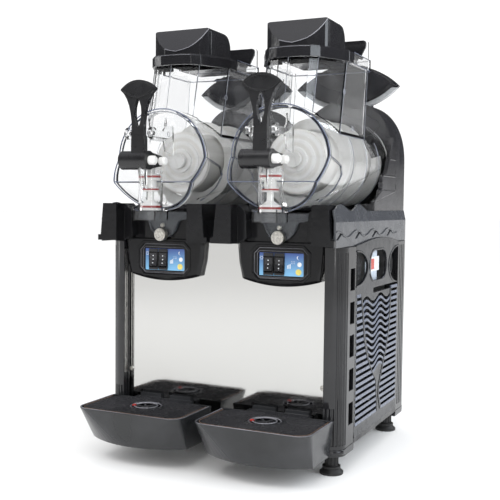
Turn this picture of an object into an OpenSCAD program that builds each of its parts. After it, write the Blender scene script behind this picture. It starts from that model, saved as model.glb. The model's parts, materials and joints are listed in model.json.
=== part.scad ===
// Twin-bowl slush machine, 400 mm wide, two horizontal clear bowls of 200 mm pitch.
// Millimetres, +Z up, front towards -Y, floor at z = 0.
// Every module is drawn with y = 0 just in front of the stainless front panel and
// is then moved by y_mid, so the whole machine is centred on the origin.

/* [Body] */
// distance between the two bowl centres
pitch = 200; // [180:1:240]
// half width of the body
body_hw = 200; // [190:1:230]
// top of the pillars, underside of the upper housing
pillar_top = 335; // [300:1:380]
// top of the condensate deck
deck_z = 372; // [350:1:400]
// rear face of the body
body_back = 325; // [300:1:360]
// rear face of the casings behind the bowls
casing_back = 345.5; // [330:0.5:360]
// height of the adjustable feet
foot_h = 30; // [20:1:60]

/* [Bowl] */
// height of the bowl axis
bowl_z = 463; // [440:1:480]
// outer radius of the clear cylinder
bowl_r = 77; // [70:0.5:90]
// wall of the clear parts
bowl_t = 3.5; // [2:0.5:5]
// rear end of the bowl
bowl_back = 269.6; // [240:0.1:290]
// radius of the evaporator drum
drum_r = 48; // [40:1:55]
// radius of the drive shaft
shaft_r = 8; // [6:0.5:10]

/* [Hopper and lid] */
// top edge of the hopper
hopper_top = 617; // [600:1:640]
// underside of the lid skirt
skirt_z = 613; // [600:1:630]
// top of the lid skirt
skirt_top = 628; // [615:1:640]
// top of the lid box
lid_top = 674; // [650:1:700]

/* [Tap] */
// distance of the tap tube axis in front of the front panel
tap_y = -47; // [-55:1:-40]
// bore radius of the tap tube
tap_r = 16; // [12:0.5:20]
// distance of the lever pivot in front of the front panel
pivot_y = -76; // [-85:1:-70]
// height of the lever pivot
pivot_z = 459; // [450:1:470]
// top of the rectangular spout
spout_z = 384; // [380:1:386]

/* [Drip tray] */
// rim height of the drip tray
rim_z = 85; // [70:1:100]
// underside of the drip tray
tray_z = 32; // [25:1:50]
// front edge of the tray rim
tray_front = -117.5; // [-130:0.5:-100]

/* [Hidden] */
// brings the middle of the whole machine, tray rims to casings, to y = 0
y_mid = -(tray_front + casing_back) / 2;
run = 0.08; // running clearance on a radius
rocker_tilt = -7; // both rocker switches are off
half = pitch / 2;
$fn = 64;

// ---------- helpers ----------
// box from two opposite corners
module bx(a, b) { translate(a) cube(b - a); }
// cylinder along Y between y0 and y1
module cy(r, y0, y1, x = 0, z = 0, fn = 64)
  translate([x, y1, z]) rotate([90, 0, 0]) cylinder(h = y1 - y0, r = r, $fn = fn);
// cylinder along X between x0 and x1
module cx(r, x0, x1, y = 0, z = 0, fn = 48)
  translate([x0, y, z]) rotate([0, 90, 0]) cylinder(h = x1 - x0, r = r, $fn = fn);
// flat shape drawn in X and Z, pulled from y0 to y1
module xz(y0, y1) translate([0, y1, 0]) rotate([90, 0, 0]) linear_extrude(y1 - y0) children();
// flat shape drawn in Y and Z, pulled from x0 to x1
module yz(x0, x1) translate([x0, 0, 0]) rotate([90, 0, 90]) linear_extrude(x1 - x0) children();
// flat shape drawn in X and Y, pulled from z0 to z1
module xy(z0, z1) translate([0, 0, z0]) linear_extrude(z1 - z0) children();
// left or right half of the machine: -1 or 1
module side(s) { if (s < 0) mirror([1, 0, 0]) children(); else children(); }
// one of the two bowls and all that goes with it
module unit(s) translate([s * half, y_mid, 0]) children();
// rectangle with one round radius at every corner
module rrect(x0, y0, x1, y1, r) {
  translate([x0 + r, y0]) square([x1 - x0 - 2 * r, y1 - y0]);
  translate([x0, y0 + r]) square([x1 - x0, y1 - y0 - 2 * r]);
  for (x = [x0 + r, x1 - r]) for (y = [y0 + r, y1 - r]) translate([x, y]) circle(r, $fn = 48);
}

// ---------- base ----------
module base_pan() color("#232426") translate([0, y_mid, 0]) {
  difference() {
    union() {
      bx([-171, 8, 40], [171, 318, 43]);
      bx([-198.5, 46.4, 40], [198.5, 271.6, 43]);
      // rail with a rounded foot edge along each side
      for (s = [-1, 1]) side(s) {
        bx([195, 46.4, 40], [199.9, 271.6, 46]);
        translate([197.5, 46.4, 40]) rotate([-90, 0, 0]) cylinder(h = 225.2, r = 2.4, $fn = 32);
      }
      bx([-171, 8, 43], [171, 10, 70]);
    }
    // drain and ventilation holes of the floor
    for (x = [-120, -80, 80, 120]) for (y = [70, 110]) translate([x, y, 39]) cylinder(h = 5, r = 9);
  }
}

module feet() color("#1b1b1d") translate([0, y_mid, 0])
  for (x = [-177, 177]) for (y = [14, 292]) translate([x, y, 0]) {
    cylinder(h = 3.5, r = 17.5);
    translate([0, 0, 3.5]) cylinder(h = 5, r1 = 17, r2 = 12.5);
    translate([0, 0, 8.5]) cylinder(h = 3.5, r = 13.5);
    translate([0, 0, 12]) cylinder(h = foot_h - 12, r = 9);
    for (a = [0:30:330]) rotate(a) bx([8, -1.2, 14], [10.2, 1.2, foot_h - 2]);
  }

module pillar_plan(g = 0) {
    intersection() {
    translate([175.5, 12]) circle(24 + g, $fn = 96);
    translate([171.5 - g, -40]) square([40, 80]);
  }
  translate([171.5 - g, -12 - g]) square([4.1 + g, 30]);
  translate([171.5 - g, 12]) square([28 + 2 * g, 34]);
}
module front_pillars() color("#232325") translate([0, y_mid, 0]) for (s = [-1, 1]) side(s) difference() {
  union() {
    xy(foot_h, foot_h + 13) pillar_plan(0);
    // bead round the foot of the pillar
    intersection() {
      union() {
        translate([175.5, 12, foot_h + 6.5]) rotate_extrude($fn = 96) translate([22.6,
          0]) circle(4.2, $fn = 32);
        translate([199, 12, foot_h + 6.5]) rotate([-90, 0, 0]) cylinder(h = 34, r = 4.2, $fn = 32);
      }
      bx([171.5, -40, foot_h], [200, 46, foot_h + 13]);
    }
    difference() {
      xy(foot_h + 13, pillar_top - 4) pillar_plan(0);
      // flutes round the outer corner, with more of them near the foot
      for (a = [-50, -36, -22, -8])
        translate([175.5 + 24.8 * cos(a), 12 + 24.8 * sin(a), foot_h + 16])
          cylinder(h = pillar_top - 24 - foot_h, r = 2.2, $fn = 24);
      for (a = [-92, -78, -64])
        translate([175.5 + 24.8 * cos(a), 12 + 24.8 * sin(a), foot_h + 16]) cylinder(h = 55,
          r = 2.2, $fn = 24);
      // ventilation slots on the outer side
      for (z = [71, 121.5, 171.5, 220.5, 270]) bx([190, 21, z + 1], [200, 41, z + 33]);
      // channel on the inner side
      bx([171, -4, 60], [174, 0.6, pillar_top - 10]);
    }
    xy(pillar_top - 4, pillar_top) pillar_plan(0);
  }
  // the pillar is a shell, open at the top
  xy(foot_h + 13, pillar_top + 1) {
    translate([175.5, 12]) intersection() { circle(20, $fn = 64); translate([0, -30]) square([30, 42]); }
    translate([175.5, 12]) square([20, 30]);
  }
}
module rear_plan(g = 0) {
  translate([176 - g, 272]) square([23.5 + g * 2, 41]);
  translate([176 - g, 272]) square([11 + g, 53 + g]);
  translate([187.5, 313]) circle(12 + g, $fn = 64);
}
module rear_pillars() color("#232325") translate([0, y_mid, 0]) for (s = [-1, 1]) side(s) difference() {
  union() {
    xy(foot_h, foot_h + 3) rear_plan(0);
    xy(foot_h + 3, foot_h + 10) rear_plan(0.4);
    xy(foot_h + 10, pillar_top) rear_plan(0);
  }
  for (y = [282, 292, 302]) translate([200.4, y, foot_h + 20])
    cylinder(h = pillar_top - 26 - foot_h, r = 2.4, $fn = 24);
  // the pillar is a shell, open at the top
  xy(foot_h + 13, pillar_top + 1) translate([179, 276]) square([16, 40]);
}

module front_panel() color("#d9dadb") translate([0, y_mid, 0]) difference() {
  bx([-171.2, 3, 47], [171.2, 4.5, pillar_top]);
  for (s = [-1, 1]) {
    // slots that take the hooks of each drip tray
    for (k = [-1, 1]) bx([s * half + k * 27 - 22, 0, 76], [s * half + k * 27 + 22, 8, 94]);
    // window behind each control panel
    bx([s * half - 36, 0, 287], [s * half + 36, 8, 331]);
    translate([s * 165.5, 0, 127]) rotate([-90, 0, 0]) cylinder(h = 8, r = 2.1);
  }
}

module rear_panel() color("#9a9c9e") translate([0, y_mid, 0]) difference() {
  bx([-175.6, 318.4, 43.2], [175.6, 320, pillar_top]);
  for (x = [-110, -45]) for (i = [0:14]) bx([x, 316, 80 + i * 14], [x + 55, 322, 85 + i * 14]);
  for (i = [0:14]) bx([30, 316, 80 + i * 14], [85, 322, 85 + i * 14]);
  bx([118, 316, 84], [148, 322, 108]);
}

// ---------- side panels ----------
function ell(cy0, cz0, a, b, n = 48) = [for (i = [0:n - 1]) [cy0 + a * cos(360 * i / n),
  cz0 + b * sin(360 * i / n)]];
// edges of the goblet shaped louvre field at height z
gl = [[64, 161], [82, 159], [116, 152], [136, 129], [159, 107], [189, 90], [213, 84], [237, 78], [257, 72]];
gr = [[64, 180], [88, 168], [105, 170], [127, 184], [156, 205], [188, 220], [221, 227], [257, 228]];
function wave(y) = 5 * cos(360 * (y - 97) / 73);
module louvres() {
  for (i = [0:19]) {
    z = 68 + i * 9.7;
    a = lookup(z, gl);
    b = lookup(z, gr);
    bx([190, 52, z], [205, a - 4, z + 4.4]);
    bx([190, b + 5, z], [205, 267, z + 4.4]);
  }
  for (i = [0:11]) {
    z = 139 + i * 9.7;
    a = lookup(z, gl) + 5;
    b = lookup(z, gr) - 5;
    n = max(4, round((b - a) / 7));
    yz(190, 205) polygon(concat(
      [for (k = [0:n]) let(y = a + (b - a) * k / n) [y, z + wave(y)]],
      [for (k = [n:-1:0]) let(y = a + (b - a) * k / n) [y, z + 5.2 + wave(y)]]));
  }
}
module goblet_ribs() {
  // raised double line round the goblet
  for (k = [0:len(gl) - 2]) yz(199.4, 200.4) polygon([
    [gl[k][1] - 1.6, gl[k][0]], [gl[k][1] + 1.6, gl[k][0]],
    [gl[k + 1][1] + 1.6, gl[k + 1][0]], [gl[k + 1][1] - 1.6, gl[k + 1][0]]]);
  for (k = [0:len(gr) - 2]) yz(199.4, 200.4) polygon([
    [gr[k][1] - 2, gr[k][0]], [gr[k][1] + 2, gr[k][0]],
    [gr[k + 1][1] + 2, gr[k + 1][0]], [gr[k + 1][1] - 2, gr[k + 1][0]]]);
}
module ring2(c, w) difference() {
  yz(199.2, 200.4) polygon(ell(c[0], c[1], c[2] + w, c[3] + w));
  yz(190, 205) polygon(ell(c[0], c[1], c[2], c[3]));
}
module side_panel(s) color("#3a3b3f") translate([0, y_mid, 0]) side(s) {
  intersection() {
    bx([190, 46.4, 40], [205, 271.6, 360]);
    difference() {
      union() {
        yz(196.8, 199.6) polygon(concat([[46.4, 58.4], [271.6, 58.4]],
          [for (i = [16:-1:0]) let(t = i / 16) [46.4 + 225.2 * t, 336 + 9 * sin(180 * pow(t, 1.15))]]));
        goblet_ribs();
        // sill that slopes outwards
        translate([0, 46.4, 0]) rotate([90, 0, 180]) mirror([1, 0, 0]) linear_extrude(225.2)
          polygon([[196.8, 46.4], [200.3, 46.4], [199.4, 58.4], [196.8, 58.4]]);
        for (c = [[50, 301, 51, 25], [272, 297, 55, 30]]) ring2(c, 2.6);
        difference() {
          yz(199.2, 200.4) rrect(111.5, 275.5, 203.5, 327.5, 24);
          yz(190, 205) rrect(114, 278, 201, 325, 22);
        }
      }
      louvres();
      for (c = [[50, 301, 51, 25], [272, 297, 55, 30]]) yz(190, 205) polygon(ell(c[0], c[1], c[2], c[3]));
      yz(190, 205) rrect(114, 278, 201, 325, 22);
      // long slot under the openings
      bx([190, 132, 258.5], [205, 276, 266.5]);
    }
  }
}

// ---------- upper housing ----------
function crest(y) = y < 119 ? 392.4 + 5 * cos(360 * (y + 4.5) / 83) : 387.4;
module upper_housing() color("#2c2d31") translate([0, y_mid, 0]) difference() {
  union() {
    bx([-193.4, 3, deck_z - 3], [193.4, body_back, deck_z]);
    bx([-196.5, 3, pillar_top + 0.2], [196.5, 6, deck_z]);
    bx([-196.5, body_back - 3, pillar_top + 0.2], [196.5, body_back, deck_z]);
    // low rear wall between and beside the casings
    bx([-12.4, body_back - 2.6, deck_z - 1], [12.4, body_back, 387.4]);
    for (s = [-1, 1]) side(s) bx([187.8, body_back - 2.6, deck_z - 1], [193, body_back, 387.4]);
    for (s = [-1, 1]) side(s) {
      bx([193.4, -38, pillar_top + 0.2], [196.5, body_back, deck_z]);
      // leaning band with a wavy top edge
      translate([196.5, 0, deck_z]) rotate([0, -11.5, 0]) translate([-196.5, 0, -deck_z])
        yz(193.5, 196.5) polygon(concat([[body_back - 0.4, deck_z - 1], [-37.4, deck_z - 1]],
          [for (y = [-37.4:4:118]) [y, crest(y)]], [[119, 387.4], [body_back - 0.4, 387.4]]));
      // wavy lip above the air slits
      yz(196.4, 198) polygon(concat(
        [for (y = [-36:4:268]) [y, 352.6 + 4.6 * cos(360 * (y + 30) / 82)]],
        [for (y = [268:-4:-36]) [y, 354.6 + 4.6 * cos(360 * (y + 30) / 82)]]));
    }
    for (x = [-60, 60]) bx([x - 2, 6, deck_z - 12], [x + 2, body_back - 3, deck_z - 3]);
  }
  // air slits on the rising flank of every wave
  for (s = [-1, 1]) side(s) for (k = [0:3]) yz(190, 200) polygon([
    [-52 + 82 * k + 16, 346.4], [-52 + 82 * k + 25, 346.4], [-52 + 82 * k + 41, 354.4],
      [-52 + 82 * k + 33, 355.6]]);
  // drain of the deck
  translate([0, 60, deck_z - 5]) cylinder(h = 10, r = 6);
}

module screws() color("#c8c8c6") translate([0, y_mid, 0]) {
  for (s = [-1, 1]) {
    difference() {
      union() {
        cy(2, 1.4, 8, s * 165.5, 127);
        translate([s * 165.5, 3, 127]) rotate([90, 0, 0]) cylinder(h = 2.6, r1 = 4.2, r2 = 3, $fn = 48);
      }
      cy(1.2, -1, 1.4, s * 165.5, 127, 6);
    }
    difference() {
      union() {
        cy(1.8, -8.3, -1, s * half - 2, 361);
        translate([s * half - 2, -8.3, 361]) rotate([90, 0, 0]) cylinder(h = 2.2, r1 = 4, r2 = 2.8,
          $fn = 48);
      }
      bx([s * half - 4.6, -11, 360.6], [s * half + 0.6, -9.4, 361.4]);
      bx([s * half - 2.4, -11, 358.4], [s * half - 1.6, -9.4, 363.6]);
    }
  }
}

// ---------- cooling set ----------
module compressor() color("#161616") translate([0, y_mid, 0]) {
  translate([62, 205, 43]) {
    for (x = [-60, 60]) for (y = [-55, 55]) translate([x, y, 0]) cylinder(h = 14, r = 9);
    bx([-72, -66, 14], [72, 66, 18]);
    translate([0, 0, 18]) cylinder(h = 18, r = 62);
    translate([0, 0, 36]) cylinder(h = 70, r = 68);
    translate([0, 0, 106]) cylinder(h = 22, r1 = 68, r2 = 44);
    translate([0, 0, 128]) cylinder(h = 6, r1 = 44, r2 = 20);
    bx([60, -24, 54], [92, 24, 96]);
  }
}
module condenser() color("#8e9296") translate([0, y_mid, 0]) {
  difference() {
    bx([-188, 70, 43], [-150, 250, 250]);
    // gaps between the fins
    for (i = [0:16]) bx([-184, 74, 52 + i * 11.4], [-149, 246, 58 + i * 11.4]);
  }
  // tubes through the fins, joined in pairs outside the end plates
  for (i = [0:5]) {
    z = 71.8 + i * 28.6;
    for (k = [0, 1]) cy(4, 62, 258, -166, z + k * 14.3, 24);
    for (y = [62, 254]) bx([-170, y, z], [-162, y + 4, z + 14.3]);
  }
}
module fan_motor() color("#2b2b2d") translate([0, y_mid, 0]) {
  cx(28, -112, -66, 160, 150);
  cx(5, -122, -112, 160, 150);
  bx([-100, 152, 43], [-92, 168, 124]);
  bx([-104, 140, 43], [-88, 180, 46]);
}
module fan() color("#101112") translate([0, y_mid, 0]) difference() {
  union() {
    cx(20, -140, -118, 160, 150);
    for (k = [0:4]) translate([-129, 160, 150]) rotate([k * 72, 0, 0])
      translate([0, 0, 18]) rotate([0, 0, 32]) translate([-1, -20, 0]) cube([2, 40, 54]);
  }
  cx(5 + run, -128, -117, 160, 150);
}
module power_inlet() color("#111111") translate([0, y_mid, 0]) difference() {
  union() {
    bx([118.4, 304, 84.4], [147.6, 320.2, 107.6]);
    bx([112, 320.2, 79], [154, 323, 113]);
  }
  bx([121, 306, 88], [145, 326, 104]);
}

// ---------- fascia ----------
module oct(x, z0, z1, c) polygon([[-x + c, z0], [x - c, z0], [x, z0 + c], [x, z1 - c], [x - c, z1],
  [-x + c, z1], [-x, z1 - c], [-x, z0 + c]]);
// lower part of the fascia, made smaller all round by g
module tongue(g = 0) polygon(concat([[-71.2 + g, 340.4 - g * 0.2], [-71.2 + g, 330], [-69 + g, 308],
  [-63.5 + g, 284 + g * 0.4]],
  [for (i = [-7:7]) [i * (60.2 - g) / 7, 274 + g + (9 - g * 0.4) * pow(abs(i) / 7.2, 2)]],
  [[63.5 - g, 284 + g * 0.4], [69 - g, 308], [71.2 - g, 330], [71.2 - g, 340.4 - g * 0.2]]));
module fascia(s) color("#141416") unit(s) difference() {
  union() {
    for (k = [-1, 1]) side(k) {
      xz(-47, 2.7) polygon([[63, 337], [92.4, 337], [92, 346], [87.8, 395], [63, 395]]);
      xz(-47, -38.4) polygon([[90, 337], [97, 337], [97, 345.6], [90, 345.6]]);
      // sloping shoulder beside the bowl
      xz(-24, 2.7) polygon([[48, 345], [63, 337], [63, 395], [58, 391], [50, 384]]);
    }
    bx([-64, -5, 340], [64, 2.7, 384]);
    // tongue with sloping edges
    hull() { xz(-4, 2.7) tongue(); xz(-8.4, -8) tongue(5); }
    // raised rim of the control panel
    xz(-9.8, -7) difference() { oct(48.5, 281, 336, 11); oct(45.4, 284, 333, 10); }
  }
  // hollow behind each ear
  for (k = [-1, 1]) side(k) bx([66.5, -43, 341], [86, 3, 391]);
  
  // pocket of the control panel
  xz(-20, 8) oct(44, 285, 332, 9);
  // clearance for the bowl and the tap tube
  cy(80.2, -60, 10, 0, bowl_z, 128);
  // hole of the thumb screw and of the bib screw
  cy(3.2, -10, -1, 0, 346.8);
  cy(1.8, -10, -1, -2, 361);
}
module bib(s) color([0.45, 0.47, 0.5, 0.6]) unit(s) difference() {
  union() {
    xz(-8.3, -5.2) polygon([[-47, 382.4], [-47, 371.5], [-33, 370], [-28, 368.4], [-25.6, 364],
      [-22, 355], [-17.6, 349],
      [-10, 343], [0, 340.6], [10, 343], [17.6, 349], [22, 355], [25.6, 364], [28, 368.4],
        [33, 370], [47, 371.5],
      [47, 382.4]]);
    // thick bright lip along the lower edge
    xz(-11.2, -8.3) polygon([[-47, 374], [-47, 371.5], [-33, 370], [-28, 368.4], [-25.6, 364],
      [-22, 355], [-17.6, 349],
      [-10, 343], [0, 340.6], [10, 343], [17.6, 349], [22, 355], [25.6, 364], [28, 368.4],
        [33, 370], [47, 371.5],
      [47, 374], [32, 372.6], [26, 370.6], [23.2, 365], [19.8, 356.4], [15.8, 350.8], [9, 345.4],
        [0, 343.2],
      [-9, 345.4], [-15.8, 350.8], [-19.8, 356.4], [-23.2, 365], [-26, 370.6], [-32, 372.6]]);
  }
  cy(3.2, -12, -4, 0, 346.8);
  cy(1.8, -12, -4, -2, 361);
}
module knob(s) color("#cfccc4") unit(s) {
  cy(9.7, -21, -11.4, 0, 346.8);
  cy(8.4, -22.2, -21, 0, 346.8);
  for (i = [0:29]) translate([0, 0, 346.8]) rotate([0, i * 12, 0]) bx([9.2, -20.4, -0.45],
    [10.05, -12, 0.45]);
  cy(3.2 - run, -11.4, -1.4, 0, 346.8);
}
module control_plate(s) color("#17181b") unit(s) difference() {
  union() {
    xz(-6.4, -2) oct(43.6, 285.4, 331.6, 9);
    bx([-32, -2, 291], [8.6, 9, 321.6]);
  }
  // rounded pocket that takes the label
  difference() {
    xz(-8, -4.2) rrect(-38, 287.6, 37, 326.6, 5);
    for (x = [-28.4, -10.9]) bx([x, -9, 293.8], [x + 16.1, 0, 318.6]);
  }
    for (x = [-28.4, -10.9]) {
    bx([x + 1.5, -8, 295.2], [x + 14.6, 7.4, 317.2]);
    // bearings of the rocker
    cx(1.8 + run, x + 0.85, x + 15.25, -2, 306.2);
  }
}
module rocker(s, x) color("#2a2b2e") unit(s)
  translate([x, -2, 306.2]) rotate([rocker_tilt, 0, 0]) translate([0, 2, -306.2]) difference() {
  union() {
    yz(-6.2, 6.2) polygon([[-4.2, 295.9], [-7.6, 296.2], [-6.6, 306.2], [-7.6, 316.2],
      [-4.2, 316.5], [0.5, 309], [0.5, 303.4]]);
    bx([-6.2, -5.4, 302], [6.2, 2, 310.4]);
    cx(1.8, -7, 7, -2, 306.2);
  }
  for (z = [300.5, 306.2, 312]) cy(1.5, -9, -7.05 + (z == 306.2 ? 0.6 : 0), 0, z, 24);
}

// ---------- drip tray ----------
module tray_top(g) hull() {
  translate([-89.5 + g + 20, tray_front + g + 20]) circle(20, $fn = 32);
  translate([89.5 - g - 20, tray_front + g + 20]) circle(20, $fn = 32);
  translate([-89.5 + g, -17.3 - g]) square([179 - 2 * g, 4]);
}
module tray_low(g) polygon(concat([[83 - g, -15.9 - g], [-83 + g, -15.9 - g]],
  [for (i = [-8:8]) let(x = i * 10.3) [x * (83 - g) / 82.4, -104 + g + 27 * pow(abs(i) / 8, 2.2)]]));
module tray(s) color("#35373a") unit(s) union() {
  difference() {
    hull() {
      xy(rim_z - 1, rim_z) tray_top(0);
      xy(tray_z, tray_z + 1) tray_low(0);
    }
    hull() {
      xy(rim_z, rim_z + 1) tray_top(3);
      xy(tray_z + 3, tray_z + 4) tray_low(3);
    }
    bx([-48.4, -20, 73], [48.4, -10, rim_z + 1]);
  }
  for (x = [-68, 68]) for (y = [-70, -26]) translate([x, y,
    tray_z + 2]) cylinder(h = 81.8 - tray_z - 2, r = 4.5);
  for (k = [-1, 1]) {
    // bracket and hook that enter the slots of the front panel
    bx([k * 27 - 19, -1, 78], [k * 27 + 19, 9, 81]);
    bx([k * 27 - 19, 6.4, 81], [k * 27 + 19, 9, 92.5]);
    bx([k * 27 - 19, -1, 78], [k * 27 + 19, 1.2, 91]);
  }
  // narrower shelf at the back
  difference() {
    bx([-51, -14.6, 70], [51, 0.8, rim_z]);
    bx([-48.4, -18, 73], [48.4, -1.6, rim_z + 1]);
  }
}
module drain_ring() {
  difference() {
    translate([1.5, -60, 82]) cylinder(h = 4.4, r = 27);
    translate([1.5, -60, 80]) cylinder(h = 9, r = 23.5);
    translate([1.5, -60, 85.2]) cylinder(h = 9, r = 25.4);
  }
  for (a = [8, 68, 128]) translate([1.5, -60, 82]) rotate(a) bx([-24, -1.3, 0], [24, 1.3, 2.6]);
  translate([1.5, -60, 82]) cylinder(h = 2.6, r = 5);
  translate([-16, -66, 82]) cylinder(h = 3.4, r = 5.6);
}
module grid(s) color("#2b2d2f") unit(s) difference() {
  union() {
    difference() {
      union() {
        xy(82, 84.6) rrect(-85.4, tray_front + 4.6, 85.4, -17.8, 21);
        bx([-47.6, -19, 82], [47.6, -2.2, 84.6]);
      }
      // drainage slots
      for (i = [0:19]) {
        y = tray_front + 10.5 + i * 4.4;
        w = abs(y + 60) < 27 ? sqrt(27 * 27 - pow(y + 60, 2)) + 2 : 2;
        bx([-79, y, 80], [-w - 1, y + 2, 88]);
        bx([w + 4, y, 80], [79, y + 2, 88]);
      }
      translate([1.5, -60, 80]) cylinder(h = 9, r = 24);
    }
    drain_ring();
  }
  translate([-16, -66, 80]) cylinder(h = 9, r = 3.1);
}
module float(s) color("#c8281e") unit(s) translate([-16, -66, 0]) {
  translate([0, 0, 36]) cylinder(h = 14, r = 9);
  translate([0, 0, 50]) cylinder(h = 37, r = 3);
}

// ---------- bowl ----------
// side view of the front of the bowl, moved back by g
module nose(g) polygon([[-20 + g, 560], [-16 + g, 466], [-43 + g, 428], [-10 + g, 376], [30, 376],
  [30, 560]]);
// plan of the hopper and of the lid, grown by g
function prow(g) = concat(
  [[0, 13 - g], [17 + g * 0.3, 15 - g], [31 + g * 0.5, 20 - g], [41 + g * 0.8, 30 - g * 0.6],
   [50 + g * 0.9, 49 - g * 0.4], [58 + g * 0.9, 64 - g * 0.4], [67 + g, 82 - g * 0.3],
     [67 + g, 184 + g * 0.4],
   [62 + g * 0.7, 191 + g * 0.8], [0, 193 + g]],
  [[-62 - g * 0.7, 191 + g * 0.8], [-67 - g, 184 + g * 0.4], [-67 - g, 82 - g * 0.3],
    [-58 - g * 0.9, 64 - g * 0.4],
   [-50 - g * 0.9, 49 - g * 0.4], [-41 - g * 0.8, 30 - g * 0.6], [-31 - g * 0.5, 20 - g],
     [-17 - g * 0.3, 15 - g]]);
module funnel(g, zt) hull() {
  xy(zt - 1, zt) polygon(prow(g));
  xy(470, 471) translate([0, -34]) polygon([for (p = prow(g)) [p[0],
    p[1] > 150 ? p[1] + 18 : p[1] + (p[0] == 0 ? 6 : 0)]]);
}
module bowl(s) color([0.8, 0.85, 0.9, 0.35]) unit(s) difference() {
  union() {
    cy(bowl_r, -6, bowl_back, 0, bowl_z, 128);
    // front plate with its projecting chin and a thick edge
    difference() {
      intersection() {
        cy(bowl_r + 2, -60, 20, 0, bowl_z, 128);
        yz(-90, 90) nose(0);
      }
      yz(-90, 90) nose(5);
    }
    intersection() {
      cy(bowl_r, -60, 40, 0, bowl_z, 128);
      yz(-90, 90) nose(0);
    }
    
    // rear flange
    cy(bowl_r + 3, 258, bowl_back, 0, bowl_z, 128);
    // moulded ribs on the flanks
    intersection() {
      cy(bowl_r + 1.6, -30, 262, 0, bowl_z, 128);
      union() {
        yz(-90, 90) polygon([[-16, 467], [-16, 464], [31, 452.6], [43, 440], [39, 420], [26, 402],
          [28, 400.4], [41.6, 419], [46, 440.6], [33, 455]]);
        yz(-90, 90) polygon([[12, 404.4], [12, 401.6], [228, 453.6], [228, 456.4]]);
      }
    }
    // tap tube, spout and the neck behind them
    translate([0, tap_y, 384]) cylinder(h = 63, r = tap_r + 2.5);
        bx([-19.5, tap_y - 19, spout_z], [19.5, tap_y + 19, 388]);

    bx([-15, tap_y + 8, 392], [15, -18, 432]);
    // lug that carries the lever pivot
    yz(-5, 5) polygon([[tap_y - 14, 412], [tap_y - 14, 446.6], [pivot_y + 7, pivot_z + 3],
      [pivot_y - 4, pivot_z - 4],
      [pivot_y, pivot_z - 10], [tap_y - 24, 424]]);
    cx(9.5, -5, 5, pivot_y, pivot_z);
    // two arms beside the lever
    for (k = [-1, 1]) side(k) {
      bx([18, -76, 494], [22.5, -17, 504]);
      cx(9, 17.5, 23, -76, 499);
      // upright rib behind each boss
      yz(19.6, 22) polygon([[-17, 470], [-40, 474], [-46, 492], [-46, 506], [-41, 510], [-39, 525],
        [-36, 512], [-17, 514]]);
    }
  }
  // inside of the cylinder
  intersection() {
    cy(bowl_r - bowl_t, -60, bowl_back + 1, 0, bowl_z, 128);
    yz(-90, 90) polygon([[-20 + 4, 560], [-16 + 4, 465], [-43 + 5.4, 427.6], [-10 + 3, 370],
      [300, 370], [300, 560]]);
  }
    // mouth below the hopper
  intersection() {
    funnel(-bowl_t, hopper_top);
    bx([-90, -12, bowl_z + 20], [90, 230, 600]);
  }

  // bore of the tap tube, spout and passage
  translate([0, tap_y, 383]) cylinder(h = 70, r = tap_r);
  
  bx([-11, tap_y, 398], [11, -12, 428]);
  cx(4 + run, -6, 6, pivot_y, pivot_z);
  for (k = [-1, 1]) side(k) cx(3.6, 17, 24, -76, 499);
}
// clear funnel on the bowl, with a rim band and a splash wall round its rear part
module hopper(s) color([0.8, 0.85, 0.9, 0.35]) unit(s) difference() {
  union() {
    intersection() {
      funnel(0, hopper_top);
      bx([-90, -40, bowl_z + 20], [90, 230, 640]);
    }
    intersection() {
      difference() {
        xy(hopper_top - 5, skirt_top + 2) polygon(prow(4.3));
        xy(600, 640) polygon(prow(-1.5));
      }
      bx([-90, 103, 600], [90, 230, 650]);
    }
    xz(188, 191.4) rrect(-66, hopper_top - 3, 66, 663.6, 5);
  }
  funnel(-bowl_t, hopper_top + 0.01);
  cy(bowl_r, 10, bowl_back, 0, bowl_z, 128);
  cy(bowl_r + 2, -60, 20, 0, bowl_z, 128);
}
// rectangular spout under the tap tube
module spout(s) color([0.8, 0.85, 0.9, 0.35]) unit(s) difference() {
  bx([-19.5, tap_y - 19, 369.6], [19.5, tap_y + 19, spout_z]);
  bx([-17, tap_y - 16.5, 365], [17, tap_y + 16.5, spout_z + 1]);
}
module evaporator(s) color("#c9ccce") unit(s) difference() {
  union() {
    cy(drum_r, 50, bowl_back, 0, bowl_z, 96);
    cy(drum_r - 2, 48, 50, 0, bowl_z, 96);
    cy(drum_r - 16, 46, 50, 0, bowl_z, 96);
    cy(20, 42, 46, 0, bowl_z, 64);
  }
  // hollow for the cooling coil, round the tube of the shaft
  difference() {
    cy(drum_r - 2, 56, bowl_back + 1, 0, bowl_z, 96);
    cy(shaft_r + 4, 55, bowl_back + 2, 0, bowl_z);
  }
  cy(shaft_r + run, 41, bowl_back + 1, 0, bowl_z);
}
module auger(s) color([0.93, 0.92, 0.88]) unit(s) translate([0, 0, bowl_z]) {
  difference() {
    union() {
      cy(13, 33, 40, 0, 0);
      // the arm that carries the spiral
      rotate([0, 8, 0]) bx([-66, 33.9, -6], [0, 38.6, 6]);
      rotate([0, 8, 0]) bx([-69, 33.5, -7], [-58, 60, 7]);
    }
    cy(shaft_r + 0.02, 35.4, 41, 0, 0);
  }
  translate([0, 56, 0]) rotate([-90, 0, 0]) linear_extrude(height = 196, twist = 900, slices = 75, $fn = 10)
    polygon(concat([for (a = [166:7:194]) [70 * cos(a), 70 * sin(a)]],
      [for (a = [194:-7:166]) [52 * cos(a), 52 * sin(a)]]));
}
module auger_shaft(s) color("#b9bbbd") unit(s) cy(shaft_r, 35.6, 300, 0, bowl_z);

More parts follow.
